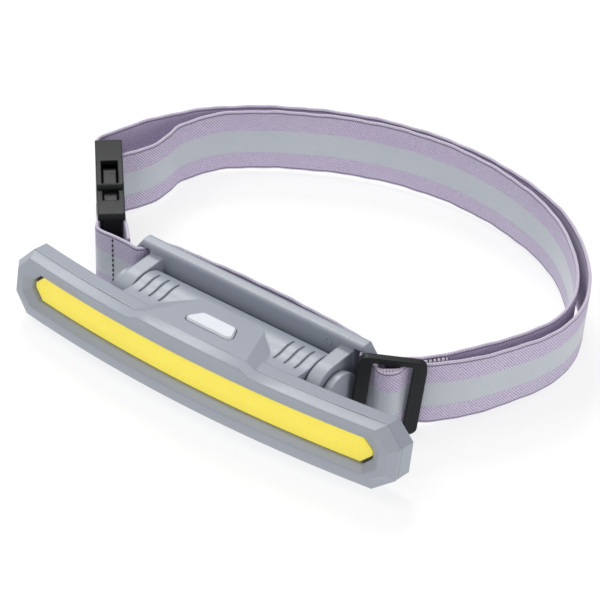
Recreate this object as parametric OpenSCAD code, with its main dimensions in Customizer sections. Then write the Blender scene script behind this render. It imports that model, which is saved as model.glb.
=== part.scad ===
// Headlamp with a wide curved light bar, a tilting head and a doubled elastic headband.
// The origin is the middle of the bracket's lower edge, X runs along the lamp, Y towards the
// wearer's head and Z up. The band stands on its edge, with the light bar facing -Y.

/* [Light bar] */
// Half length of the bar, along its arc
bar_half = 65; // [63:0.5:68]
// Radius of the bar's curve, in plan
bar_radius = 358; // [320:1:500]
// Height of the bar's top edge over the window's centre line
bar_top = 9.4; // [9.2:0.1:10]
// Depth of the bar's lower edge under the window's centre line
bar_bottom = 9.9; // [9.6:0.1:10.4]
// Half height of the window
window_half_h = 4; // [3.4:0.1:4.2]
// Half length of the window
window_half = 58; // [54:0.5:58]
// How far the middle of the bar's top edge stands up
brow_rise = 1.2; // [0.6:0.1:1.4]

/* [Head] */
// Radius of the battery hump, about the tilt axis
hump_r = 9; // [8.8:0.1:9.1]
// Half length of the hump, between the bracket's ears
hump_half = 29.5; // [29:0.1:29.6]
// Angle that the window faces up, as the head is stored
head_tilt = 9; // [0:1:12]
// Radius of the tilt pins
pin_r = 2.45; // [2:0.05:2.6]

/* [Bracket] */
// Length of the bracket plate
plate_len = 81; // [80.6:0.1:82]
// Height of the bracket plate
plate_h = 24; // [23.8:0.2:24.4]
// Thickness of the bracket plate
plate_t = 4.2; // [4:0.1:4.4]
// Distance from the plate's middle to the tilt axis, towards the front
pivot_reach = 10.3; // [10:0.1:10.6]

/* [Headband] */
// Width of the elastic webbing
band_w = 20; // [19:0.5:20.5]
// Thickness of the webbing
band_t = 1; // [0.8:0.1:1]

/* [Buckle] */
// Length of the closed buckle
buckle_len = 38; // [37:0.5:39]
// Thickness of the buckle
buckle_t = 7.6; // [7.4:0.1:8]
// Direction of the buckle in plan, from its lamp end to its far end
buckle_turn = 132; // [130:1:134]

/* [Hidden] */

$fn = 64;
tiny = 0.01;
band_mid = plate_h / 2;
pivot_z = plate_h / 2;
pivot_y = -pivot_reach;

// Light bar section, in the bar's own terms: f is forwards from the window's face, u is up.
window_reach = 18.3;
window_drop = 1.9;
parting_f = -1.6;
bar_back_f = -6.3;
shell_t = 1.2;
crease_f = 1.9;
brow_half = 17;
brow_jog = 3.5;

// Housing cavity and what it holds
cavity_r = 7.9;
end_wall = 2;
neck_floor = -8.6;
valley_z = 7.3;
groove_t = 0.45;
board_t = 0.8;
main_board_z = 4.2;
lens_flange_t = 1;
lens_front = -0.15;
lens_t = 0.5;
strip_front = -0.75;
strip_t = 0.7;
strip_half = 57;
strip_half_h = 3.6;
led_board_t = 1;

// Bracket ears and the head's outer lugs
ear_t = 4.3;
ear_in = 30.05;
ear_r = 9.1;
pin_play = 0.05;
lug_r = 7.1;
lug_t = 2.3;
lug_in = 34.8;
washer_t = 0.35;
slot_in = 34.6;
slot_out = 37.8;
slot_h = 20.5;

// Button
button_front = 15;
button_rear = 12;
button_depth = 5.8;
button_y = -8.7;
button_top = 9.5;
button_gap = 0.35;

// Charging port, under the head
port_y = -8.9;
port_w = 9;
port_t = 3.3;

// Slider
slider_len = 18;
slider_w = 23.6;
slider_bar = 3.6;
slider_t = 2.2;
slider_at = [45.8, -1.8, 12.6];
slider_turn = 36;
slider_lean = 6;

// Buckle: x along it from the lamp end, y through it towards the inner face, z across it
buckle_x = -51.2;
buckle_y = 1.4;
buckle_w = plate_h;
plug_base = 13;
mouth = 14;
buckle_wall = 1.5;
bar_t = 5;
band_gap_w = 20.6;
prong_root = 9;
prong_rise = 0.011;
prong_peak = 23;
prong_tip = 27.5;

// Route of the doubled band, in plan, from the slider round to the buckle's far end
outer_route = [
    [52.6, 5.4], [60, 14.2], [65, 24], [69, 34], [70.5, 45], [67.5, 57], [59, 70], [43, 83.5],
    [22, 91], [-2, 93], [-26, 88.5], [-50, 76.5], [-67, 61.5], [-75.8, 46.6]
];
inner_route = [
    [56, 15.5], [61, 25.5], [65, 35], [66.8, 45], [64.5, 55.5], [56.5, 68], [41, 81.2], [21, 88.8],
    [-2, 91], [-25, 86.5], [-48, 74.6], [-62, 62.3], [-67, 50.6]
];
outer_end_route = [[-76, 46.2], [-78.6, 39], [-80.2, 33.5], [-80.5, 29.5]];
inner_end_route = [[-67.1, 50], [-66.5, 44], [-66.6, 38], [-68, 32.8], [-69.3, 30.2]];
slider_loop_route = [[55.6, 14.8], [53, 10.8], [50.6, 7.2], [48.6, 4.8]];
slack = [[22, 4.4], [8, 5.1], [-8, 5.1], [-22, 4.4]];
slot_pass = [[52, 5], [40.6, -3.2], [38.6, -3.4], [37.2, -2.6], [35.6, 2.2], [34.4, 3.1]];

// ---- Geometry helpers ----

// A point on the curved bar: s along the arc, f forwards, u up, in the head's own frame
function bar_point(s, f, u) =
    let (a = s / bar_radius * 180 / PI, r = bar_radius + f)
    [r * sin(a), bar_radius - window_reach - r * cos(a), u - window_drop];

// How far the brow stands up at a station along the bar
function brow(s) = brow_rise * max(0, min(1, (brow_half + brow_jog - abs(s)) / brow_jog));

// Eight-sided loop round the bar. half: half length, top and bottom: heights, cut_t and cut_b:
// how much each corner is cut along the bar, side_t and side_b: where the upright end starts
function side_stations(end) = concat(
    [brow_half / 3, brow_half * 2 / 3, brow_half, brow_half + brow_jog],
    [for (i = [1:6]) brow_half + brow_jog + (end - brow_half - brow_jog) * i / 6]
);
function stations(end) =
    let (side = side_stations(end))
    concat([for (i = [len(side) - 1:-1:0]) -side[i]], [0], side);
function bar_loop(half, top, bottom, cut_t, cut_b, side_t, side_b, f_top, f_bottom, rise) = concat(
    [for (s = stations(half - cut_t)) bar_point(s, f_top, top + rise * brow(s))],
    [bar_point(half, (f_top + f_bottom) / 2, side_t), bar_point(half, (f_top + f_bottom) / 2, side_b)],
    [for (s = stations(half - cut_b)) bar_point(-s, f_bottom, bottom)],
    [bar_point(-half, (f_top + f_bottom) / 2, side_b), bar_point(-half, (f_top + f_bottom) / 2, side_t)]
);

// A ring-shaped solid through a list of loops with equal numbers of points
module loop_ring(loops) {
    n = len(loops[0]);
    m = len(loops);
    points = [for (l = loops) for (p = l) p];
    faces = [
        for (i = [0:m - 1]) for (j = [0:n - 1]) for (k = [0:1])
            let (
                a = i * n + j,
                b = i * n + (j + 1) % n,
                c = ((i + 1) % m) * n + (j + 1) % n,
                d = ((i + 1) % m) * n + j
            )
            k == 0 ? [a, b, c] : [a, c, d]
    ];
    polyhedron(points, faces, convexity = 8);
}

// A curved slab of the bar between two depths, cut to an eight-sided outline.
// cut_t and cut_b: how much the upper and lower corners are cut, as [along, up]
module bar_slab(f_back, f_front, half, top, bottom, cut_t, cut_b) {
    intersection() {
        translate([0, bar_radius - window_reach, -window_drop])
            rotate([0, 0, -90 - 14])
                rotate_extrude(angle = 28, $fn = 360)
                    translate([bar_radius + f_back, bottom])
                        square([f_front - f_back, top - bottom]);
        translate([0, 20, -window_drop])
            rotate([90, 0, 0])
                linear_extrude(60)
                    polygon([
                        [-half, bottom + cut_b[1]], [cut_b[0] - half, bottom],
                        [half - cut_b[0], bottom], [half, bottom + cut_b[1]],
                        [half, top - cut_t[1]], [half - cut_t[0], top],
                        [cut_t[0] - half, top], [-half, top - cut_t[1]]
                    ]);
    }
}

// Puts a head piece, drawn about the tilt axis with the window upright, where it is stored
module in_head() {
    translate([0, pivot_y, pivot_z])
        rotate([-head_tilt, 0, 0])
            children();
}

// A cylinder along X from x0 to x1
module rod(r, x0, x1) {
    translate([x0, 0, 0])
        rotate([0, 90, 0])
            cylinder(r = r, h = x1 - x0);
}

// A box from one corner to the other
module box(low, high) {
    translate(low)
        cube(high - low);
}

// Extrudes a side view, drawn as [y, z], from x0 to x1
module side_view(x0, x1) {
    translate([x0, 0, 0])
        rotate([90, 0, 90])
            linear_extrude(x1 - x0)
                children();
}

module both_ends() {
    children();
    mirror([1, 0, 0])
        children();
}

// A flat rectangle with round corners, centred
module round_rect(size, r) {
    union() {
        square([size[0] - 2 * r, size[1]], center = true);
        square([size[0], size[1] - 2 * r], center = true);
        for (x = [-1, 1])
            for (y = [-1, 1])
                translate([x * (size[0] / 2 - r), y * (size[1] / 2 - r)])
                    circle(r);
    }
}

// ---- Band helpers ----

// A smooth curve through the points, with a fixed number of steps a span
steps = 6;
function spline(p) = [
    for (i = [0:len(p) - 2]) for (k = [0:i == len(p) - 2 ? steps : steps - 1])
        let (
            t = k / steps,
            a = p[max(i - 1, 0)],
            b = p[i],
            c = p[i + 1],
            d = p[min(i + 2, len(p) - 1)]
        )
        0.5 * (2 * b + (c - a) * t + (2 * a - 5 * b + 4 * c - d) * t * t
            + (3 * b - a - 3 * c + d) * t * t * t)
];
function unit(v) = v / norm(v);
function sideways(p, i) =
    let (v = unit(p[min(i + 1, len(p) - 1)] - p[max(i - 1, 0)]))
    [-v[1], v[0]];

// A flat band on edge along a plan route
module band(route, width = band_w, thick = band_t) {
    n = len(route);
    near = [for (i = [0:n - 1]) route[i] + sideways(route, i) * thick / 2];
    far = [for (i = [n - 1:-1:0]) route[i] - sideways(route, i) * thick / 2];
    translate([0, 0, band_mid - width / 2])
        linear_extrude(width)
            polygon(concat(near, far));
}

// Puts a buckle piece, drawn along +X with its inner face towards -Y, in its place
module in_buckle() {
    translate([buckle_x, buckle_y, band_mid])
        rotate([0, 0, buckle_turn])
            children();
}

// A point of the buckle's own plan, in the part's plan
function buckle_plan(p) =
    [buckle_x, buckle_y]
    + [p[0] * cos(buckle_turn) - p[1] * sin(buckle_turn), p[0] * sin(buckle_turn) + p[1] * cos(buckle_turn)];

// ---- Bracket ----

// Corner points of the plate's outline, moved inwards by d on every side
function plate_outline(d) =
    let (
        cut = [3, 4.2],
        x = plate_len / 2 - d,
        z = plate_h / 2 - d,
        n = unit([cut[1], cut[0]]),
        reach = n * [plate_len / 2 - cut[0], plate_h / 2] - d,
        x1 = (reach - n[1] * z) / n[0],
        z1 = (reach - n[0] * x) / n[1]
    )
    [[x1, z], [x, z1], [x, -z1], [x1, -z], [-x1, -z], [-x, -z1], [-x, z1], [-x1, z]];

// The plate, with its rim rounded in three steps
module plate_blank() {
    edge_r = 1.2;
    translate([0, 0, plate_h / 2])
        hull()
            for (a = [0:30:90])
                translate([0, plate_t / 2 - edge_r * (1 - sin(a)), 0])
                    rotate([90, 0, 0])
                        linear_extrude(plate_t - 2 * edge_r * (1 - sin(a)))
                            polygon(plate_outline(edge_r * (1 - cos(a))));
}

module ear() {
    side_view(ear_in, ear_in + ear_t)
        union() {
            translate([pivot_y, pivot_z])
                circle(ear_r);
            translate([pivot_y, pivot_z - ear_r])
                square([-pivot_y - plate_t / 4, 2 * ear_r]);
        }
}

module bracket() {
    color("lightsteelblue")
        difference() {
            union() {
                plate_blank();
                both_ends()
                    ear();
            }
            translate([0, pivot_y, pivot_z]) {
                rod(hump_r + 0.5, -ear_in, ear_in);
                both_ends()
                    rod(pin_r + pin_play, ear_in - 1, ear_in + ear_t + 1);
            }
            both_ends()
                box(
                    [slot_in, -plate_t, band_mid - slot_h / 2],
                    [slot_out, plate_t, band_mid + slot_h / 2]
                );
        }
}

// ---- Head: housing and bezel ----

// A smooth step between two heights with given slopes, as [y, z] points
function ramp(a, b, slope_a, slope_b, n) = [
    for (i = [0:n])
        let (t = i / n, w = b[0] - a[0])
        [
            a[0] + t * w,
            (2 * t * t * t - 3 * t * t + 1) * a[1] + (t * t * t - 2 * t * t + t) * w * slope_a
                + (3 * t * t - 2 * t * t * t) * b[1] + (t * t * t - t * t) * w * slope_b
        ]
];

// Side view of the neck that joins the hump to the bar, with its smooth valley on top
module neck_outline() {
    hump_join = -3.6;
    hump_z = sqrt(hump_r * hump_r - hump_join * hump_join);
    polygon(concat(
        [[-13, neck_floor], [-13, bar_top - window_drop - 0.1]],
        ramp([-11.8, bar_top - window_drop - 0.1], [-9.2, valley_z], -0.2, 0, 6),
        ramp([-9.2, valley_z], [hump_join, hump_z], 0, -hump_join / hump_z, 8),
        [[0, 0], [-2.5, neck_floor]]
    ));
}

// Where a plane through three points passes at the given y and z
function plane_x(a, b, c, y, z) =
    let (n = cross(b - a, c - a))
    a[0] - (n[1] * (y - a[1]) + n[2] * (z - a[2])) / n[0];

// Raised plateau that carries the button, from the brow back to the top of the hump
module plateau() {
    front = -19;
    rear = -0.5;
    foot = valley_z - 0.4;
    corner = [brow_half + 0.9, front, bar_top + brow_rise - window_drop];
    toe = [corner[0] + (corner[2] - foot) * brow_jog / brow_rise, front, foot];
    back = [11, rear, hump_r - 0.02];
    heel = [plane_x(corner, back, toe, rear, foot), rear, foot];
    polyhedron(
        [
            [-corner[0], corner[1], corner[2]], corner, toe, [-toe[0], toe[1], toe[2]],
            [-back[0], back[1], back[2]], back, heel, [-heel[0], heel[1], heel[2]]
        ],
        [[0, 1, 2, 3], [5, 4, 7, 6], [1, 0, 4, 5], [3, 2, 6, 7], [2, 1, 5, 6], [0, 3, 7, 4]]
    );
}

// Trapezoid with round corners that the button and its opening share
module button_outline(grow) {
    r = 1.3;
    front = button_front / 2 - r;
    rear = button_rear / 2 - r;
    depth = button_depth / 2 - r;
    lean = atan2(front - rear, 2 * depth);
    corners = [
        [[front, -depth], -90, lean], [[rear, depth], lean, 90],
        [[-rear, depth], 90, 180 - lean], [[-front, -depth], 180 - lean, 270]
    ];
    translate([0, button_y])
        polygon([
            for (c = corners) for (t = [0:0.2:1])
                let (a = c[1] + (c[2] - c[1]) * t)
                c[0] + (r + grow) * [cos(a), sin(a)]
        ]);
}

// Three shallow grooves over each shoulder of the hump
module grip_grooves() {
    both_ends()
        for (i = [0:2])
            side_view(19.2 + 3.4 * i, 19.8 + 3.4 * i)
                difference() {
                    translate([-7.6, 0])
                        square([8.8, hump_r + 1]);
                    circle(hump_r - groove_t);
                    translate([0, -groove_t])
                        neck_outline();
                }
}

module bar_end_screws() {
    for (side = [-1, 1])
        let (s = side * 62)
            translate(bar_point(s, 0, -0.6))
                rotate([90, 0, s / bar_radius * 180 / PI])
                    children();
}

module rear_housing() {
    floor_f = bar_back_f + shell_t;
    color("lightsteelblue")
        in_head()
            difference() {
                union() {
                    bar_slab(
                        bar_back_f, parting_f + 2, bar_half - 0.6, bar_top, -bar_bottom,
                        [4.7, 5.4], [6, 4.7]
                    );
                    rod(hump_r, -hump_half, hump_half);
                    side_view(-hump_half, hump_half)
                        neck_outline();
                    plateau();
                    both_ends()
                        side_view(lug_in, lug_in + lug_t)
                            union() {
                                circle(lug_r);
                                translate([-11.5, -lug_r])
                                    square([11.5, lug_r + 1.5]);
                            }
                }
                translate([0, bar_radius - window_reach, -20])
                    difference() {
                        cylinder(r = bar_radius + 12, h = 40, $fn = 360);
                        translate([0, 0, -1])
                            cylinder(r = bar_radius + parting_f, h = 42, $fn = 360);
                    }
                bar_slab(floor_f, parting_f + 1, bar_half - 4.4, 7.8, -7.8, [3.4, 4], [3.4, 4]);
                rod(cavity_r, end_wall - hump_half, hump_half - end_wall);
                box([-24, -11, -7.4], [24, -4, 5.4]);
                box([-8, -13.6, -5], [8, -10.8, 3]);
                box([-9.4, button_y - 4, 0], [9.4, button_y + 4, 7.75]);
                linear_extrude(hump_r + 3)
                    button_outline(button_gap);
                grip_grooves();
                both_ends()
                    rod(pin_r, hump_half - end_wall - 1, lug_in + 1.3);
                box([-port_w / 2, port_y - port_t / 2, neck_floor - 1], [port_w / 2, port_y + port_t / 2, 0]);
                box([-8, port_y - 2.7, neck_floor - 1], [8, port_y + 2.7, neck_floor + 0.95]);
                bar_end_screws()
                    translate([0, 0, bar_back_f - 1])
                        union() {
                            cylinder(r = 0.95, h = 8);
                            cylinder(r = 1.7, h = 2.2);
                        }
            }
}

module bezel() {
    rise = brow_rise;
    seam_f = parting_f + 0.05;
    color("lightsteelblue")
        in_head()
            difference() {
                loop_ring([
                    bar_loop(bar_half, bar_top, -bar_bottom, 4.7, 6, 4, -5.2, seam_f, seam_f, rise),
                    bar_loop(bar_half, bar_top, 0.4 - bar_bottom, 4.7, 6, 4, -5.2, -1.4, 0.5, rise),
                    bar_loop(62.4, bar_top - 1, -6.2, 4.2, 4.8, 3.4, -3.6, crease_f, crease_f, rise),
                    bar_loop(60.2, bar_top - 1.3, -5.4, 3.2, 3.8, 2.4, -2.4, crease_f, crease_f, rise),
                    bar_loop(window_half, window_half_h, -window_half_h, 2.8, 2.8, 1.2, -1.2, 0, 0, 0),
                    bar_loop(
                        window_half, window_half_h, -window_half_h, 2.8, 2.8, 1.2, -1.2,
                        seam_f, seam_f, 0
                    )
                ]);
                bar_end_screws()
                    translate([0, 0, -4])
                        cylinder(r = 0.75, h = 4.2);
            }
}

// ---- Head: light ----

// The lens is a shallow clear cup that fills the window, with a flange behind the bezel
module lens() {
    edge = window_half - 0.6;
    rim = window_half_h - 0.1;
    wall = 0.2;
    color("white", 0.4)
        in_head()
            difference() {
                union() {
                    bar_slab(
                        parting_f - lens_flange_t, parting_f - tiny, edge + 1.5, 5.6, -5.6,
                        [3.2, 3.6], [3.2, 3.6]
                    );
                    bar_slab(parting_f - 0.5, lens_front, edge, rim, -rim, [3, 2.9], [3, 2.9]);
                }
                bar_slab(
                    parting_f - 2, lens_front - lens_t, edge - wall, rim - wall, wall - rim,
                    [3, 2.9], [3, 2.9]
                );
            }
}

module lens_gasket() {
    color("dimgray")
        in_head()
            difference() {
                bar_slab(
                    parting_f - lens_flange_t, parting_f - tiny, window_half + 2, 7, -7,
                    [3.2, 3.6], [3.2, 3.6]
                );
                bar_slab(
                    parting_f - 2, parting_f + 1, window_half + 1, 5.7, -5.7, [3.2, 3.6], [3.2, 3.6]
                );
            }
}

module light_strip() {
    color("gold")
        in_head()
            bar_slab(
                strip_front - strip_t, strip_front, strip_half, strip_half_h, -strip_half_h,
                [3, 2.9], [3, 2.9]
            );
}

module led_board() {
    front = strip_front - strip_t;
    color("whitesmoke")
        in_head()
            bar_slab(
                front - led_board_t, front, strip_half, strip_half_h, -strip_half_h,
                [3, 2.9], [3, 2.9]
            );
}

// Aluminium bar that carries the strip's board and spreads its heat
module heat_spreader() {
    color("silver")
        in_head()
            bar_slab(
                bar_back_f + shell_t + 0.1, strip_front - strip_t - led_board_t, strip_half - 4, 3.4, -3.4,
                [1, 1], [1, 1]
            );
}

// ---- Head: battery, boards and switch ----

module battery() {
    color("silver")
        in_head()
            box([-26, -4.8, -5.4], [26, 5.2, 3.6]);
}

module battery_foam() {
    color("black")
        in_head()
            box([-18, -4, 3.6], [18, 3.4, main_board_z]);
}

module main_board() {
    color("seagreen")
        in_head()
            box([-22, -10.9, main_board_z], [22, 3.6, main_board_z + board_t]);
}

module tact_switch() {
    base = main_board_z + board_t;
    color("dimgray")
        in_head()
            translate([0, button_y, base])
                union() {
                    translate([-2, -2, 0])
                        cube([4, 4, 1.3]);
                    cylinder(r = 0.9, h = 1.7);
                }
}

module indicator_led() {
    color("white")
        in_head()
            translate([3.2, button_y - 0.4, main_board_z + board_t])
                cube([1.6, 0.8, 0.6]);
}

module power_button() {
    cap_floor = 7.6;
    stem_floor = 7.15;
    color("aliceblue")
        in_head()
            union() {
                translate([0, 0, cap_floor])
                    linear_extrude(button_top - cap_floor - 0.4)
                        button_outline(0);
                translate([0, 0, button_top - 0.4])
                    linear_extrude(0.4)
                        button_outline(-0.25);
                translate([0, 0, stem_floor])
                    linear_extrude(0.45)
                        button_outline(0.7);
            }
}

module charge_board() {
    color("seagreen")
        in_head()
            box([-9, -10.8, -board_t], [9, -5.2, 0]);
}

module usb_socket() {
    skin = 0.35;
    mouth_z = -7.2;
    color("silver")
        in_head()
            translate([0, port_y, 0])
                union() {
                    difference() {
                        box([-4.4, -1.6, mouth_z], [4.4, 1.6, -board_t]);
                        box([skin - 4.4, skin - 1.6, mouth_z - 1], [4.4 - skin, 1.6 - skin, -2]);
                    }
                    box([-3.3, -0.35, -6], [3.3, 0.35, -2]);
                }
}

module usb_flap() {
    color("slategray")
        in_head()
            translate([0, port_y, neck_floor])
                union() {
                    box([-7.5, -2.4, 0], [7.5, 2.4, 0.8]);
                    box([-3.6, -0.9, 0.8], [3.6, 0.9, 2.2]);
                }
}

// ---- Head: pins, washers and screws ----

module hinge_pin() {
    rod(pin_r, hump_half - end_wall + 0.3, lug_in + 1.2);
}

module hinge_pin_left() {
    color("gray")
        in_head()
            mirror([1, 0, 0])
                hinge_pin();
}

module hinge_pin_right() {
    color("gray")
        in_head()
            hinge_pin();
}

module friction_washers() {
    color("ivory")
        in_head()
            both_ends()
                difference() {
                    rod(5, lug_in - washer_t - 0.03, lug_in - 0.03);
                    rod(pin_r + 0.02, lug_in - 1, lug_in + 1);
                }
}

module housing_screws() {
    color("silver")
        in_head()
            bar_end_screws()
                translate([0, 0, bar_back_f])
                    union() {
                        cylinder(r = 0.75, h = 6);
                        difference() {
                            cylinder(r = 1.6, h = 1.2);
                            translate([0, 0, -1])
                                cylinder(r = 0.6, h = 1.7, $fn = 6);
                        }
                    }
}

// ---- Band fittings ----

module slider() {
    gap = (slider_len - 3 * slider_bar) / 2;
    color([0.08, 0.08, 0.09])
        translate(slider_at)
            rotate([0, 0, slider_turn])
                rotate([90, slider_lean, 0])
                    translate([0, 0, -slider_t / 2])
                        linear_extrude(slider_t)
                            difference() {
                                round_rect([slider_len, slider_w], 2.4);
                                for (side = [-1, 1])
                                    translate([side * (gap + slider_bar) / 2, 0])
                                        round_rect([gap, slot_h], 0.6);
                            }
}

// A buckle piece seen from its face, drawn as [along, across], between two depths
module buckle_layer(y_low, y_high) {
    translate([0, y_high, 0])
        rotate([90, 0, 0])
            linear_extrude(y_high - y_low)
                children();
}

module buckle_plug() {
    half = buckle_t / 2;
    color([0.08, 0.08, 0.09])
        in_buckle()
            difference() {
                union() {
                    buckle_layer(-half, half)
                        translate([plug_base / 2, 0])
                            round_rect([plug_base, buckle_w], 1.5);
                    buckle_layer(-1.2, 1.2)
                        translate([plug_base - 1, -2.5])
                            square([14, 5]);
                }
                box([-1, bar_t / 2, -band_gap_w / 2], [4.4, half + 1, band_gap_w / 2]);
                box([-1, -half - 1, -band_gap_w / 2], [4.4, -bar_t / 2, band_gap_w / 2]);
                box([4.2, -half - 1, -band_gap_w / 2], [6.8, half + 1, band_gap_w / 2]);
                for (side = [-1, 1])
                    translate([prong_root, -2.2, side * 8.4])
                        rotate([-90, 0, 0])
                            cylinder(r = 1.05, h = 4.4);
                for (side = [0, 1])
                    mirror([0, 0, side])
                        box([prong_root - 1.6, -2.2, 5.6], [plug_base + 1, 2.2, buckle_w]);
            }
}

// Side view of a prong, its outer edge bowed so that it clears the mouth as the halves part
module prong() {
    inner = 6.4;
    outer = 9.8;
    bow = [
        for (x = [mouth:1:prong_peak])
            [x, outer + prong_rise * (x - prong_root) * (x - mouth)]
    ];
    buckle_layer(-2, 2)
        union() {
            translate([prong_root, 8.4])
                circle(1);
            polygon(concat(
                [[prong_root, 7.4], [mouth, inner + 0.9], [prong_peak, inner], [prong_tip, inner + 0.4]],
                [[prong_tip, outer - 2], [prong_tip - 1.5, outer]],
                [for (i = [len(bow) - 1:-1:0]) bow[i]],
                [[prong_root, 9.4]]
            ));
        }
}

module prong_upper() {
    color([0.08, 0.08, 0.09])
        in_buckle()
            prong();
}

module prong_lower() {
    color([0.08, 0.08, 0.09])
        in_buckle()
            mirror([0, 0, 1])
                prong();
}

module buckle_socket() {
    half = buckle_t / 2;
    length = buckle_len - mouth;
    room = half - buckle_wall;
    color([0.08, 0.08, 0.09])
        in_buckle()
            difference() {
                buckle_layer(-half, half)
                    translate([mouth + length / 2, 0])
                        round_rect([length - 0.2, buckle_w], 1.5);
                box([mouth - 1, -room, -10.3], [mouth + 15.6, room, 10.3]);
                box([mouth + 1.6, -room, -buckle_w], [mouth + 12.6, room, buckle_w]);
                box([31.2, -half - 1, -band_gap_w / 2], [34.4, half + 1, band_gap_w / 2]);
                box([34, bar_t / 2, -band_gap_w / 2], [buckle_len + 1, half + 1, band_gap_w / 2]);
                box([34, -half - 1, -band_gap_w / 2], [buckle_len + 1, -bar_t / 2, band_gap_w / 2]);
            }
}

// ---- Headband ----

module webbing() {
    color("thistle")
        children();
}

// From the slider through the right slot, behind the plate and out of the left slot
module band_lamp_run() {
    webbing()
        band(concat(
            slot_pass, slack,
            [for (i = [len(slot_pass) - 1:-1:2]) [-slot_pass[i][0], slot_pass[i][1]]],
            [[-43.8, -2.9]]
        ));
}

// Sewn loop round the plug's bar
module band_plug_loop() {
    webbing()
        band(spline([
            [-44.2, -2.9], buckle_plan([-2, 4]), buckle_plan([1.5, 3.5]), buckle_plan([4.4, 3.2]),
            buckle_plan([5.4, 0]), buckle_plan([4.4, -3.2]), buckle_plan([1.5, -3.5]),
            buckle_plan([-2, -4]), [-43, -1.5]
        ]));
}

// Turn of the long band round the socket's bar
module band_socket_turn() {
    webbing()
        band(spline([
            buckle_plan([39, 3.3]), buckle_plan([36, 3.2]), buckle_plan([34, 3]),
            buckle_plan([32.9, 1.2]), buckle_plan([32.6, -1.2]), buckle_plan([32.5, -3.6])
        ]));
}

module band_outer_end() {
    webbing()
        band(spline(outer_end_route));
}

module band_inner_end() {
    webbing()
        band(spline(inner_end_route));
}

module band_outer() {
    webbing()
        band(spline(outer_route));
}

module band_inner() {
    webbing()
        band(spline(inner_route));
}

// Sewn end that folds round the slider's middle bar
module band_slider_loop() {
    webbing()
        band(spline(slider_loop_route));
}

bracket();
rear_housing();
bezel();
lens();
lens_gasket();
light_strip();
led_board();
heat_spreader();
battery();
battery_foam();
main_board();
tact_switch();
indicator_led();
power_button();
charge_board();
usb_socket();
usb_flap();
hinge_pin_left();
hinge_pin_right();
friction_washers();
housing_screws();
slider();
buckle_plug();
prong_upper();
prong_lower();
buckle_socket();
band_lamp_run();
band_plug_loop();
band_socket_turn();
band_outer_end();
band_inner_end();
band_outer();
band_inner();
band_slider_loop();
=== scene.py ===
"""Looks for the headlamp.

Moulded grey and black plastic, ribbed webbing with a printed grey stripe, stitches, the clear lens
and the yellow light strip. Lengths in plan tables are in millimetres in the frame's X and Y.
"""

import math

import bmesh
import bpy
import numpy as np
from mathutils import Matrix, Vector


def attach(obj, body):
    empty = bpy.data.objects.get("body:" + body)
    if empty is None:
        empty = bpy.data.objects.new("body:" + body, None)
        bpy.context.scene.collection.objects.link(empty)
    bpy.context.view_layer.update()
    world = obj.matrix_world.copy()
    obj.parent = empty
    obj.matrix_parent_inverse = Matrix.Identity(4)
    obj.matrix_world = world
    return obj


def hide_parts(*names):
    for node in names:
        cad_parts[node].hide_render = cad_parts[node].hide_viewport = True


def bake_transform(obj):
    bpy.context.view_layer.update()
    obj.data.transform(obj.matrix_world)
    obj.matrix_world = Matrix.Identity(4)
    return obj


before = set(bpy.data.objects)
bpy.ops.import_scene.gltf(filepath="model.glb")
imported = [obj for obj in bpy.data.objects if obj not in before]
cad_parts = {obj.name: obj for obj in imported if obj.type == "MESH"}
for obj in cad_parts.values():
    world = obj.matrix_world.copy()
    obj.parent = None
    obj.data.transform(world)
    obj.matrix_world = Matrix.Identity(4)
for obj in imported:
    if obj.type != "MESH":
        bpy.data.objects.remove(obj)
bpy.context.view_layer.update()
MM = 0.001

# The webbing: height of its middle above the floor, width and thickness, in millimetres.
BAND_MID = 12.0
BAND_W = 20.0
BAND_T = 0.95
# The printed stripe's edges, as shares of the width from the lower edge.
STRIPE_LOW = 0.285
STRIPE_HIGH = 0.665
# Distance between ribs along the webbing, how much they slant, and the distance between rows.
RIB_PITCH = 0.8
RIB_SLANT = 0.8
ROW_PITCH = 0.52
# The painted shade in the furrow beside each woven edge: how far in it runs.
FURROW_SHADE_IN = 0.72


# ---- Materials ----


def srgb(r, g, b):
    """A linear colour from 0-255 display values."""
    return tuple(
        (c / 255 / 12.92) if c < 10.4 else ((c / 255 + 0.055) / 1.055) ** 2.4
        for c in (r, g, b)
    ) + (1.0,)


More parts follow.
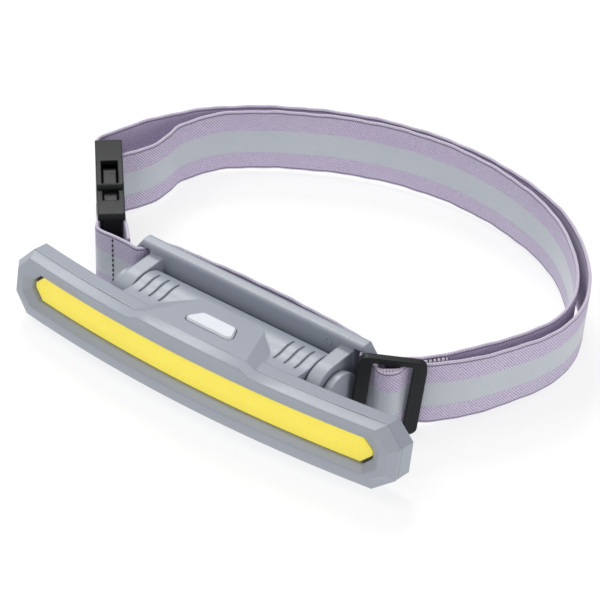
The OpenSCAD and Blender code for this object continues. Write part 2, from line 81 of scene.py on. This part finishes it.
class Shader:
    """A material's node tree with a Principled shader, and short calls to add nodes."""

    def __init__(self, name, **values):
        self.material = bpy.data.materials.new(name)
        self.material.use_nodes = True
        self.tree = self.material.node_tree
        self.tree.nodes.clear()
        self.bsdf = self.node("ShaderNodeBsdfPrincipled", values)
        out = self.node("ShaderNodeOutputMaterial")
        self.tree.links.new(self.bsdf.outputs[0], out.inputs[0])
        self.where = self.node("ShaderNodeTexCoord").outputs["Object"]

    def node(self, kind, inputs=None, **settings):
        made = self.tree.nodes.new(kind)
        for key, value in settings.items():
            setattr(made, key, value)
        self.feed(made, inputs or {})
        return made

    def feed(self, node, inputs):
        for key, value in inputs.items():
            if isinstance(value, bpy.types.NodeSocket):
                self.tree.links.new(value, node.inputs[key])
            else:
                node.inputs[key].default_value = value

    def set(self, **inputs):
        self.feed(self.bsdf, {k.replace("_", " "): v for k, v in inputs.items()})

    def math(self, operation, a, b=0.0, c=0.0, clamp=False):
        return self.node(
            "ShaderNodeMath", {0: a, 1: b, 2: c}, operation=operation, use_clamp=clamp
        ).outputs[0]

    def noise(self, scale, detail=2.0, rough=0.5):
        return self.node(
            "ShaderNodeTexNoise",
            {
                "Vector": self.where,
                "Scale": scale,
                "Detail": detail,
                "Roughness": rough,
            },
        ).outputs[0]

    def fit(self, value, low, high, to_low, to_high):
        return self.node(
            "ShaderNodeMapRange", {0: value, 1: low, 2: high, 3: to_low, 4: to_high}
        ).outputs[0]

    def mix(self, factor, a, b):
        return self.node(
            "ShaderNodeMix", {0: factor, 6: a, 7: b}, data_type="RGBA"
        ).outputs[2]

    def bump(self, height, distance, strength=1.0, normal=None):
        inputs = {"Height": height, "Distance": distance, "Strength": strength}
        if normal is not None:
            inputs["Normal"] = normal
        return self.node("ShaderNodeBump", inputs).outputs[0]

    def rounded(self, radius):
        return self.node("ShaderNodeBevel", {"Radius": radius}, samples=6).outputs[0]

    def edge(self, rounded, gain):
        """How close a point is to a rounded edge, 0 to 1."""
        flat = self.node("ShaderNodeNewGeometry").outputs["Normal"]
        dot = self.node(
            "ShaderNodeVectorMath", {0: rounded, 1: flat}, operation="DOT_PRODUCT"
        ).outputs["Value"]
        return self.math("MULTIPLY", self.math("SUBTRACT", 1.0, dot), gain, clamp=True)


def shade(colour, factor):
    return tuple(min(1.0, c * factor) for c in colour[:3]) + (1.0,)


def moulded(name, colour, rough=0.45, grain=1.0, radius=0.0005, pale_edge=0.35, shine=0.5):
    """Injection-moulded plastic: fine spark-eroded grain, faint clouds and rounded edges, made
    paler by a painted highlight.
    """
    s = Shader(name, **{"Specular IOR Level": shine})
    fine = s.noise(2600.0, 2.0)
    cloud = s.noise(45.0, 3.0)
    rounded = s.rounded(radius)
    edge = s.edge(rounded, 3.0)
    body = s.mix(cloud, shade(colour, 0.93), shade(colour, 1.06))
    s.set(
        # Painted highlight: near the rounded edges the colour is mixed towards a paler one.
        Base_Color=s.mix(s.math("MULTIPLY", edge, pale_edge), body, shade(colour, 1.35)),
        Roughness=s.math(
            "SUBTRACT",
            s.fit(fine, 0.3, 0.7, rough - 0.04, rough + 0.06),
            s.math("MULTIPLY", edge, 0.12),
        ),
        Normal=s.bump(fine, 0.00003 * grain, 0.5, rounded),
    )
    return s.material


def plain(name, colour, rough, metallic=0.0, scale=900.0, depth=0.00001, spread=0.08):
    """A simple finish with a fine procedural texture, for inner pieces."""
    s = Shader(name, Metallic=metallic)
    fine = s.noise(scale, 3.0)
    s.set(
        Base_Color=s.mix(fine, shade(colour, 1 - spread), shade(colour, 1 + spread)),
        Roughness=s.fit(fine, 0.3, 0.7, rough * 0.9, min(1.0, rough * 1.15)),
        Normal=s.bump(fine, depth, 0.6),
    )
    return s.material


def circuit(name):
    """Green solder mask with faint tracks and tinned pads."""
    s = Shader(name, Roughness=0.35)
    cells = s.node(
        "ShaderNodeTexVoronoi",
        {"Vector": s.where, "Scale": 420.0},
        distance="CHEBYCHEV",
    )
    pads = s.math("LESS_THAN", cells.outputs["Distance"], 0.16)
    tracks = s.math(
        "LESS_THAN",
        s.math("PINGPONG", s.math("MULTIPLY", s.noise(160.0), 30.0), 1.0),
        0.3,
    )
    mask = s.mix(tracks, srgb(14, 84, 44), srgb(22, 108, 60))
    s.set(
        Base_Color=s.mix(pads, mask, srgb(190, 188, 180)),
        Metallic=s.math("MULTIPLY", pads, 0.9),
        Normal=s.bump(pads, 0.00004, 0.5),
    )
    return s.material


def phosphor(name):
    """Yellow gel over a row of small light chips, which show as faint dots. Its emission is a
    painted glow that brightens the unlit strip in place of light.
    """
    # The emission strength is a painted glow, because the strip is not switched on.
    s = Shader(name, Roughness=0.38, **{"Emission Strength": 0.3})
    axes = s.node("ShaderNodeSeparateXYZ", {0: s.where}).outputs
    pitch = 0.0021
    over = s.math(
        "SUBTRACT",
        s.math("FRACT", s.math("DIVIDE", s.math("ADD", axes[0], 1.0), pitch)),
        0.5,
    )
    up = s.math(
        "SUBTRACT",
        s.math("FRACT", s.math("DIVIDE", s.math("ADD", axes[2], 1.0), pitch * 1.35)),
        0.5,
    )
    far = s.math("SQRT", s.math("ADD", s.math("MULTIPLY", over, over), s.math("MULTIPLY", up, up)))
    dot = s.fit(far, 0.12, 0.3, 1.0, 0.0)
    cloud = s.noise(260.0, 3.0)
    gel = s.mix(cloud, srgb(242, 222, 36), srgb(247, 230, 52))
    colour = s.mix(s.math("MULTIPLY", dot, 0.3), gel, srgb(236, 208, 44))
    s.set(
        Base_Color=colour,
        # Painted glow in the gel's own colour.
        Emission_Color=colour,
        Normal=s.bump(s.math("ADD", cloud, s.math("MULTIPLY", dot, 0.4)), 0.0001, 0.4),
    )
    return s.material


def clear(name):
    """Clear polycarbonate, with faint moulding haze."""
    s = Shader(name, Alpha=0.05, IOR=1.58)
    haze = s.noise(300.0, 2.0)
    s.set(
        Base_Color=s.mix(haze, srgb(240, 244, 250), srgb(252, 252, 255)),
        Roughness=s.fit(haze, 0.3, 0.7, 0.06, 0.14),
        Normal=s.bump(haze, 0.00001, 0.3),
    )
    return s.material


def webbing(name, striped):
    """Ribbed elastic webbing. The strap's UV map gives the place along and across it, in mm."""
    s = Shader(name, **{"Sheen Weight": 0.25, "Sheen Roughness": 0.5})
    uv = s.node("ShaderNodeUVMap", uv_map="strap").outputs[0]
    axes = s.node("ShaderNodeSeparateXYZ", {0: uv}).outputs
    along, across = axes[0], axes[1]
    turn = 2 * math.pi
    slant = s.math("MULTIPLY_ADD", across, RIB_SLANT, along)
    rib = s.math("SINE", s.math("MULTIPLY", slant, turn / RIB_PITCH))
    row = s.math("SINE", s.math("MULTIPLY", across, turn / ROW_PITCH))
    fuzz = s.noise(1500.0, 3.0, 0.6)
    weave = s.math(
        "MULTIPLY_ADD", s.math("MULTIPLY", rib, row), 0.2, s.math("MULTIPLY_ADD", rib, 0.34, 0.5)
    )
    weave = s.math("ADD", weave, s.fit(fuzz, 0.3, 0.7, -0.12, 0.12), clamp=True)
    cloud = s.noise(70.0, 2.0)
    thread = s.mix(weave, srgb(152, 141, 174), srgb(236, 226, 246))
    thread = s.mix(s.fit(cloud, 0.35, 0.65, 0.0, 0.22), thread, srgb(188, 174, 210))
    rim = s.math("ABSOLUTE", s.math("SUBTRACT", across, BAND_W / 2))
    # Painted shade: a dark line in the furrow beside each woven edge.
    furrow_shade = s.math("ABSOLUTE", s.math("SUBTRACT", rim, BAND_W / 2 - FURROW_SHADE_IN))
    furrow_shade = s.fit(furrow_shade, 0.12, 0.3, 0.75, 0.0)
    thread = s.mix(furrow_shade, thread, srgb(88, 76, 106))
    # The webbing turns paler towards the very edge.
    pale_edge = s.fit(rim, BAND_W / 2 - 0.45, BAND_W / 2 - 0.3, 0.0, 0.5)
    thread = s.mix(pale_edge, thread, srgb(236, 228, 244))
    height, rough, colour = weave, 0.82, thread
    if striped:
        edge = s.math("MULTIPLY_ADD", rib, 0.12, across)
        low = s.math("GREATER_THAN", edge, BAND_W * STRIPE_LOW)
        high = s.math("LESS_THAN", edge, BAND_W * STRIPE_HIGH)
        stripe = s.math("MULTIPLY", low, high)
        beads = s.noise(5200.0, 1.0)
        film = s.mix(beads, srgb(180, 186, 194), srgb(202, 208, 216))
        film = s.mix(s.fit(cloud, 0.3, 0.7, 0.0, 0.25), film, srgb(176, 181, 189))
        colour = s.mix(stripe, thread, film)
        rough = s.fit(stripe, 0.0, 1.0, 0.82, 0.42)
        quiet = s.math("MULTIPLY_ADD", weave, 0.22, 0.75)
        height = s.node("ShaderNodeMix", {0: stripe, 2: weave, 3: quiet}).outputs[0]
    s.set(Base_Color=colour, Roughness=rough, Normal=s.bump(height, 0.00022, 0.75))
    return s.material


# The sixth value of each call is the strength of the painted highlight on the edges.
shell = moulded("shell_plastic", srgb(160, 166, 178), 0.42, 1.2, 0.0006, 0.7, 0.8)
black = moulded("black_plastic", srgb(20, 22, 24), 0.45, 1.2, 0.0006, 0.5, 0.3)
frosted = moulded("frosted_button", srgb(238, 243, 252), 0.5, 0.8, 0.0004, 0.1)
webbing_plain = webbing("webbing_plain", False)
webbing_striped = webbing("webbing_striped", True)
FINISHES = {
    "rear_housing": shell,
    "bezel": shell,
    "bracket": shell,
    "hinge_pin_left": moulded("pin_plastic", srgb(120, 125, 135)),
    "lens": clear("lens_polycarbonate"),
    "light_strip": phosphor("light_gel"),
    "lens_gasket": plain("gasket_rubber", srgb(24, 24, 26), 0.8),
    "heat_spreader": plain("extruded_aluminium", srgb(205, 207, 210), 0.35, 1.0, 500.0),
    "led_board": plain("white_solder_mask", srgb(236, 236, 230), 0.4),
    "battery": plain("cell_foil", srgb(184, 186, 190), 0.35, 1.0, 300.0, 0.00006),
    "battery_foam": plain("foam", srgb(30, 30, 32), 0.95, 0.0, 1800.0, 0.0002),
    "main_board": circuit("circuit_board"),
    "tact_switch": plain("switch_plastic", srgb(30, 30, 34), 0.5),
    "indicator_led": plain("indicator_resin", srgb(235, 236, 238), 0.2),
    "usb_socket": plain("nickel", srgb(196, 198, 202), 0.25, 1.0),
    "usb_flap": plain("flap_rubber", srgb(112, 118, 128), 0.75, 0.0, 2200.0, 0.00004),
    "friction_washers": plain("washer_nylon", srgb(222, 222, 212), 0.45),
    "housing_screws": plain("plated_steel", srgb(170, 172, 176), 0.3, 1.0),
    "power_button": frosted,
    "slider": black,
    "buckle_plug": black,
    "buckle_socket": black,
    "prong_upper": black,
    "prong_lower": black,
}
FINISHES["hinge_pin_right"] = FINISHES["hinge_pin_left"]
FINISHES["charge_board"] = FINISHES["main_board"]


def finish_node(name, material):
    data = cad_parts[name].data
    data.materials.clear()
    data.materials.append(material)


for node_name, finish in FINISHES.items():
    finish_node(node_name, finish)


# ---- Softened copies of hard nodes ----


def add_object(name, mesh, material):
    piece = bpy.data.objects.new(name, mesh)
    bpy.context.scene.collection.objects.link(piece)
    if material is not None:
        mesh.materials.clear()
        mesh.materials.append(material)
    return piece


def softened(node_name, body, width, limit=26.0):
    """A copy of a hard CAD node with its edges truly rounded, as a mould leaves them."""
    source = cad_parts[node_name]
    mesh = source.data.copy()
    work = bmesh.new()
    work.from_mesh(mesh)
    bmesh.ops.remove_doubles(work, verts=work.verts, dist=2e-6)
    bmesh.ops.dissolve_limit(
        work, angle_limit=math.radians(0.6), verts=work.verts, edges=work.edges
    )
    for face in work.faces:
        face.smooth = True
    for edge in work.edges:
        edge.smooth = True
    work.to_mesh(mesh)
    work.free()
    if "custom_normal" in mesh.attributes:
        mesh.attributes.remove(mesh.attributes["custom_normal"])
    piece = add_object(node_name + "_soft", mesh, FINISHES[node_name])
    bevel = piece.modifiers.new("edges", "BEVEL")
    bevel.width = width * MM
    bevel.segments = 3
    bevel.limit_method = "ANGLE"
    bevel.angle_limit = math.radians(limit)
    bevel.use_clamp_overlap = True
    bevel.harden_normals = True
    bpy.context.view_layer.update()
    graph = bpy.context.evaluated_depsgraph_get()
    done = bpy.data.meshes.new_from_object(piece.evaluated_get(graph))
    piece.modifiers.clear()
    piece.data = done
    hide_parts(node_name)
    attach(piece, body)
    return piece


softened("bezel", "head", 0.4)
softened("power_button", "button", 0.35)
softened("slider", "bracket", 0.55)
softened("buckle_plug", "bracket", 0.5)
softened("buckle_socket", "socket", 0.6)
softened("prong_upper", "prong_upper", 0.4)
softened("prong_lower", "prong_lower", 0.4)


# ---- Webbing ----

BUCKLE_AT = np.array([-51.2, 1.4])
BUCKLE_TURN = math.radians(132)
SLIDER_AT = np.array([45.8, -1.8])
SLIDER_TURN = math.radians(36)


def in_plan(origin, turn, point):
    c, s = math.cos(turn), math.sin(turn)
    return origin + np.array([point[0] * c - point[1] * s, point[0] * s + point[1] * c])


def buckle(along, through):
    return in_plan(BUCKLE_AT, BUCKLE_TURN, (along, through))


def slider(along, front):
    return in_plan(SLIDER_AT, SLIDER_TURN, (along, -front))


def spline(points, steps=12):
    """A smooth curve through the points, spaced evenly enough for uneven spans (centripetal)."""
    p = [np.array(q, float) for q in points]
    p = [2 * p[0] - p[1]] + p + [2 * p[-1] - p[-2]]
    made = []
    for i in range(1, len(p) - 2):
        a, b, c, d = p[i - 1 : i + 3]
        t0 = 0.0
        t1 = t0 + np.linalg.norm(b - a) ** 0.5
        t2 = t1 + np.linalg.norm(c - b) ** 0.5
        t3 = t2 + np.linalg.norm(d - c) ** 0.5
        for k in range(steps):
            t = t1 + (t2 - t1) * k / steps
            a1 = (t1 - t) / (t1 - t0) * a + (t - t0) / (t1 - t0) * b
            a2 = (t2 - t) / (t2 - t1) * b + (t - t1) / (t2 - t1) * c
            a3 = (t3 - t) / (t3 - t2) * c + (t - t2) / (t3 - t2) * d
            b1 = (t2 - t) / (t2 - t0) * a1 + (t - t0) / (t2 - t0) * a2
            b2 = (t3 - t) / (t3 - t1) * a2 + (t - t1) / (t3 - t1) * a3
            made.append((t2 - t) / (t2 - t1) * b1 + (t - t1) / (t2 - t1) * b2)
    made.append(p[-2])
    return np.array(made)


def reach_along(points):
    """How far along a line each of its points is."""
    gaps = np.linalg.norm(np.diff(points, axis=0), axis=1)
    return np.concatenate([[0.0], np.cumsum(gaps)])


def between(start, end, share):
    return start * (1 - share) + end * share


def even(points, step):
    """The same line, with points a fixed step apart."""
    reach = reach_along(points)
    count = max(2, int(round(reach[-1] / step)) + 1)
    want = np.linspace(0.0, reach[-1], count)
    return np.stack(
        [np.interp(want, reach, points[:, i]) for i in range(points.shape[1])], 1
    )


OUTER = [
    [60, 14.2], [65, 24], [69, 34], [70.5, 45], [67.5, 57], [59, 70], [43, 83.5], [22, 91],
    [-2, 93], [-26, 88.5], [-50, 76.5], [-67, 61.5], [-76, 46.2],
]
OUTER_END = [[-78.6, 39], [-80.2, 33.5], [-80.5, 29.5]]
TURN = [buckle(36, 3.2), buckle(34, 3.0), buckle(32.9, 1.2), buckle(32.6, -1.2), buckle(32.5, -3.6)]
INNER_END = [[-69.3, 30.2], [-68, 32.8], [-66.6, 38], [-66.5, 44], [-67.1, 50]]
INNER = [
    [-62, 62.3], [-48, 74.6], [-25, 86.5], [-2, 91], [21, 88.8], [41, 81.2], [56.5, 68],
    [64.5, 55.5], [66.8, 45], [65, 35], [61, 25.5], [56, 15.5],
]
PLUG = [
    [-42.6, -1.6], buckle(-2, -4), buckle(1.5, -3.5), buckle(4.4, -3.2), buckle(5.4, 0),
    buckle(4.4, 3.2), buckle(1.5, 3.5), buckle(-2, 4), [-44.4, -2.9],
]
SLOT = [[-40.6, -3.2], [-38.6, -3.4], [-37.2, -2.4], [-35.7, 2.0], [-34.2, 3.1]]
SLACK = [[-22, 4.4], [-8, 5.1], [8, 5.1], [22, 4.4]]
THROUGH = SLOT + SLACK + [[-x, y] for x, y in SLOT[::-1]]
SLIDER = [
    slider(-5.6, -1.95), slider(-3.7, -0.4), slider(-2.1, 2.0), slider(0, 2.75),
    slider(2.2, 2.1), slider(3.8, -0.3), slider(6.0, -1.75), slider(9.7, -1.85),
]
FOLD = [
    slider(14, -6.2), slider(9, -4.4), slider(2, -3.4), slider(-2.8, -2.6), slider(-3.5, -0.6),
    slider(-2.7, 1.2), slider(0, 1.62), slider(2.7, 1.1), slider(3.7, -1.2), slider(5.6, -2.7),
    slider(9.5, -3.0), slider(15, -4.2),
]


LOOP_MIDDLE = np.array([0.0, 40.0])
LEAN_AT = np.array([68.0, 40.0])
LEAN_MOST = 2.2
LEAN_SPREAD = 20.0


def leaning(point):
    """How far the band's top edge stands out past its bottom one: it slumps at the right."""
    far = ((point - LEAN_AT) ** 2).sum(axis=1)
    return LEAN_MOST * np.exp(-far / (2 * LEAN_SPREAD**2))


def section():
    """Half the strap's outline, from its lower edge to its upper one: (height, half thickness)."""
    round_off = [(0.0, 0.12), (0.08, 0.6), (0.3, 0.92)]
    heights = [r[0] for r in round_off] + list(np.linspace(1.2, BAND_W - 1.2, 12))
    heights += [BAND_W - r[0] for r in round_off[::-1]]
    swell = [r[1] for r in round_off] + [1.0] * 12 + [r[1] for r in round_off[::-1]]
    return np.array(heights), np.array(swell) * BAND_T / 2


def strap(name, line, start, nodes):
    """A strip of webbing along a plan line. start is how far along the whole strap it begins."""
    n = len(line)
    ahead = np.gradient(line, axis=0)
    ahead /= np.linalg.norm(ahead, axis=1)[:, None]
    side = np.stack([ahead[:, 1], -ahead[:, 0]], 1)
    along = start + reach_along(line)
    heights, half = section()
    # Slow unevenness of the two woven edges.
    ripple = 0.1 * np.sin(along * 0.37) + 0.07 * np.sin(along * 0.83 + 1.3)
    lean = leaning(line) * np.sign(
        np.einsum("ij,ij->i", side, line - LOOP_MIDDLE) + 1e-6
    )
    k = len(heights)
    ring = 2 * k
    verts = np.zeros((n, ring, 3))
    for j in range(ring):
        i = j if j < k else ring - 1 - j
        sign = 1.0 if j < k else -1.0
        level = heights[i] / BAND_W
        out = sign * half[i] + lean * (level - 0.5)
        verts[:, j, :2] = line + side * out[:, None]
        verts[:, j, 2] = BAND_MID - BAND_W / 2 + heights[i] + ripple * (abs(level - 0.5) * 2) ** 3
    mesh = bpy.data.meshes.new(name)
    faces = []
    for a in range(n - 1):
        for j in range(ring):
            b = (j + 1) % ring
            faces.append((a * ring + j, a * ring + b, (a + 1) * ring + b, (a + 1) * ring + j))
    faces.append(tuple(range(ring - 1, -1, -1)))
    faces.append(tuple((n - 1) * ring + j for j in range(ring)))
    mesh.from_pydata((verts.reshape(-1, 3) * MM).tolist(), [], faces)
    mesh.materials.append(webbing_plain)
    mesh.materials.append(webbing_striped)
    uv = mesh.uv_layers.new(name="strap")
    for face in mesh.polygons:
        face.use_smooth = True
        rows = [v % ring for v in face.vertices]
        on_front = len(rows) == 4 and min(rows) < k - 1 and max(rows) < k
        face.material_index = 1 if on_front else 0
        for loop in face.loop_indices:
            v = mesh.loops[loop].vertex_index
            j = v % ring
            uv.data[loop].uv = (along[v // ring], heights[j if j < k else ring - 1 - j])
    mesh.validate()
    for edge in mesh.edges:
        ends = {v // ring for v in edge.vertices}
        edge.use_edge_sharp = len(ends) == 1 and ends <= {0, n - 1}
    piece = add_object(name, mesh, None)
    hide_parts(*nodes)
    return piece


# One strap: sewn round the plug, through the slots and the slider, out round the head,
# round the socket's bar and back inside, and sewn round the slider's middle bar.
STEP = 0.9
runs = [
    (
        "strap_lamp_side",
        PLUG + THROUGH + SLIDER + OUTER,
        ["band_plug_loop", "band_lamp_run", "band_outer"],
    ),
    ("strap_outer_end", OUTER[-1:] + OUTER_END, ["band_outer_end"]),
    ("strap_socket_turn", OUTER_END[-1:] + TURN, ["band_socket_turn"]),
    ("strap_inner_end", TURN[-1:] + INNER_END, ["band_inner_end"]),
    ("strap_head_side", INNER_END[-1:] + INNER + FOLD, ["band_inner", "band_slider_loop"]),
]
whole = PLUG + THROUGH + SLIDER + OUTER + OUTER_END + TURN + INNER_END + INNER + FOLD
line = spline(whole)
cuts = [0]
for _, points, _ in runs:
    gap = np.linalg.norm(line - np.array(points[-1]), axis=1)
    gap[: cuts[-1]] = 1e9
    cuts.append(int(np.argmin(gap)))
cuts[-1] = len(line) - 1
pieces = {}
begun = 0.0
for (name, _, nodes), first, last in zip(runs, cuts[:-1], cuts[1:]):
    part = even(line[first : last + 1], STEP)
    pieces[name] = strap(name, part, begun, nodes)
    begun += float(reach_along(part)[-1])
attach(pieces["strap_lamp_side"], "bracket")
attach(pieces["strap_head_side"], "bracket")
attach(pieces["strap_socket_turn"], "socket")
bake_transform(pieces["strap_outer_end"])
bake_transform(pieces["strap_inner_end"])


# ---- Stitches ----


def thread_material(name, colour):
    s = Shader(name, Roughness=0.7, **{"Sheen Weight": 0.3})
    twist = s.node(
        "ShaderNodeTexWave", {"Vector": s.where, "Scale": 2600.0, "Distortion": 1.0}
    ).outputs[1]
    s.set(
        Base_Color=s.mix(twist, shade(colour, 0.75), shade(colour, 1.15)),
        Normal=s.bump(twist, 0.00003, 0.6),
    )
    return s.material


def stitches(name, ends, radius, material):
    """Short bowed threads between pairs of points, in millimetres, as one piece."""
    verts, faces = [], []
    rings, sides = 7, 8
    for start, end, lift in ends:
        start, end, lift = (np.array(v, float) for v in (start, end, lift))
        run = end - start
        across = np.cross(run, lift)
        across /= np.linalg.norm(across)
        out = lift / np.linalg.norm(lift)
        base = len(verts)
        for i in range(rings):
            t = i / (rings - 1)
            centre = start + run * t + lift * math.sin(math.pi * t)
            size = radius * (0.45 + 0.55 * math.sin(math.pi * t) ** 0.5)
            for k in range(sides):
                a = 2 * math.pi * k / sides
                verts.append((centre + (across * math.cos(a) + out * math.sin(a)) * size) * MM)
        for i in range(rings - 1):
            for k in range(sides):
                q = (k + 1) % sides
                low, high = base + i * sides, base + (i + 1) * sides
                faces.append((low + k, low + q, high + q, high + k))
        faces.append(tuple(base + k for k in range(sides - 1, -1, -1)))
        faces.append(tuple(base + (rings - 1) * sides + k for k in range(sides)))
    mesh = bpy.data.meshes.new(name)
    mesh.from_pydata([tuple(v) for v in verts], [], faces)
    for face in mesh.polygons:
        face.use_smooth = True
    return add_object(name, mesh, material)


def upright_row(at, normal, count, gap=0.35, inset=0.9):
    """Stitches up the strap's width at a plan point, standing off its surface along normal."""
    low = BAND_MID - BAND_W / 2 + inset
    pitch = (BAND_W - 2 * inset) / count
    return [
        (
            (at[0], at[1], low + pitch * i + gap / 2),
            (at[0], at[1], low + pitch * (i + 1) - gap / 2),
            (normal[0] * 0.18, normal[1] * 0.18, 0.0),
        )
        for i in range(count)
    ]


def surface(path_point, ahead):
    """The point on the strap's printed face beside a point on its middle line, and its normal."""
    ahead = np.array(ahead, float)
    ahead /= np.linalg.norm(ahead)
    side = np.array([ahead[1], -ahead[0]])
    return np.array(path_point, float) + side * BAND_T / 2, side


dark_thread = thread_material("dark_thread", srgb(38, 34, 44))
pale_thread = thread_material("pale_thread", srgb(214, 208, 220))

# A dark row shuts the loop on the plug.
start, end = (np.array(point) for point in PLUG[-2:])
at, side = surface(between(start, end, 0.72), end - start)
row = stitches("stitches_plug", upright_row(at, side, 11), 0.27, dark_thread)
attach(row, "bracket")

# Two pale rows hold the fold at the slider, and dark loops bind its upper edge.
start, end = (np.array(point) for point in FOLD[-2:])
rows = []
for share in (0.35, 0.6):
    at, side = surface(between(start, end, share), end - start)
    rows += upright_row(at, side, 12)
row = stitches("stitches_fold", rows, 0.18, pale_thread)
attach(row, "bracket")
rows = []
over = BAND_MID + BAND_W / 2 - 0.3
for share in (0.1, 0.3, 0.5, 0.7, 0.9):
    at, side = surface(between(start, end, share), end - start)
    rows.append(((*(at + side * 0.35), over), (*(at - side * 0.75), over), (0.0, 0.0, 0.5)))
row = stitches("stitches_fold_edge", rows, 0.2, dark_thread)
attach(row, "bracket")


# ---- Small moulded marks ----


def ring_mark(name, centre, radius, wire, facing, material, body):
    """A small ejector-pin ring, as a shallow moulded bead on a face."""
    curve_points = 40
    tube = 8
    facing = Vector(facing).normalized()
    a = facing.orthogonal().normalized()
    b = facing.cross(a)
    verts, faces = [], []
    for i in range(curve_points):
        t = 2 * math.pi * i / curve_points
        out = a * math.cos(t) + b * math.sin(t)
        for k in range(tube):
            q = 2 * math.pi * k / tube
            verts.append(
                Vector(centre) * MM
                + out * (radius + wire * math.cos(q)) * MM
                + facing * (wire * 0.5 * math.sin(q)) * MM
            )
    for i in range(curve_points):
        for k in range(tube):
            n, m = (i + 1) % curve_points, (k + 1) % tube
            faces.append((i * tube + k, n * tube + k, n * tube + m, i * tube + m))
    mesh = bpy.data.meshes.new(name)
    mesh.from_pydata(verts, [], faces)
    for face in mesh.polygons:
        face.use_smooth = True
    piece = add_object(name, mesh, material)
    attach(piece, body)
    return piece


EJECTOR_AT = (26.5, -2.1, 20.6)
ring_mark("ejector_ring", EJECTOR_AT, 1.05, 0.16, (0, -1, 0), shell, "bracket")


# ---- Stage, lights and camera ----


def stage_floor():
    mesh = bpy.data.meshes.new("floor")
    half = 4.0
    mesh.from_pydata(
        [(-half, -half, 0), (half, -half, 0), (half, half, 0), (-half, half, 0)],
        [],
        [(0, 1, 2, 3)],
    )
    floor = bpy.data.objects.new("floor", mesh)
    bpy.context.scene.collection.objects.link(floor)
    s = Shader("floor_paper", Roughness=0.9, **{"Emission Strength": 0.76})
    s.set(
        Base_Color=s.mix(s.noise(8.0), (0.28, 0.28, 0.28, 1), (0.30, 0.30, 0.30, 1)),
        Emission_Color=(1, 1, 1, 1),
    )
    mesh.materials.append(s.material)


def softbox(name, place, aim, size, power):
    data = bpy.data.lights.new(name, "AREA")
    data.shape = "RECTANGLE"
    data.size, data.size_y = size
    data.energy = power
    light = bpy.data.objects.new(name, data)
    light.location = place
    light.rotation_mode = "QUATERNION"
    light.rotation_quaternion = (Vector(aim) - Vector(place)).to_track_quat("-Z", "Y")
    bpy.context.scene.collection.objects.link(light)


stage_floor()
softbox("key", (-0.58, 0.52, 0.92), (0, -0.02, 0.01), (0.42, 0.42), 6.0)
softbox("top", (-0.45, -0.24, 1.05), (0, 0.03, 0), (0.5, 0.5), 2.6)
softbox("side", (1.3, -0.3, 0.5), (0, 0.0, 0.01), (0.5, 0.5), 3.0)
softbox("front", (0.1, -1.3, 0.7), (0, 0, 0), (1.0, 0.5), 1.0)
world = bpy.data.worlds.new("studio")
world.use_nodes = True
world.node_tree.nodes["Background"].inputs[0].default_value = (1, 1, 1, 1)
world.node_tree.nodes["Background"].inputs[1].default_value = 0.42
bpy.context.scene.world = world
bpy.context.scene.view_settings.view_transform = "Standard"

# The camera looks from its azimuth and elevation, and leans by its roll.
CAMERA_AT = Vector((433.5, -554.1, 547.9)) * MM
az, el, roll = (math.radians(v) for v in (37.06, 36.85, 1.38))
back = Vector((math.sin(az) * math.cos(el), -math.cos(az) * math.cos(el), math.sin(el)))
right = Vector((math.cos(az), math.sin(az), 0))
up = back.cross(right)
across = right * math.cos(roll) + up * math.sin(roll)
upright = back.cross(across)
camera_data = bpy.data.cameras.new("camera")
camera_data.sensor_width = 36
camera_data.lens = 198.2
camera_data.clip_start, camera_data.clip_end = 0.05, 20
camera = bpy.data.objects.new("camera", camera_data)
camera.matrix_world = Matrix(
    [[*axes, place] for axes, place in zip(zip(across, upright, back), CAMERA_AT)]
    + [[0, 0, 0, 1]]
)
bpy.context.scene.collection.objects.link(camera)
bpy.context.scene.camera = camera
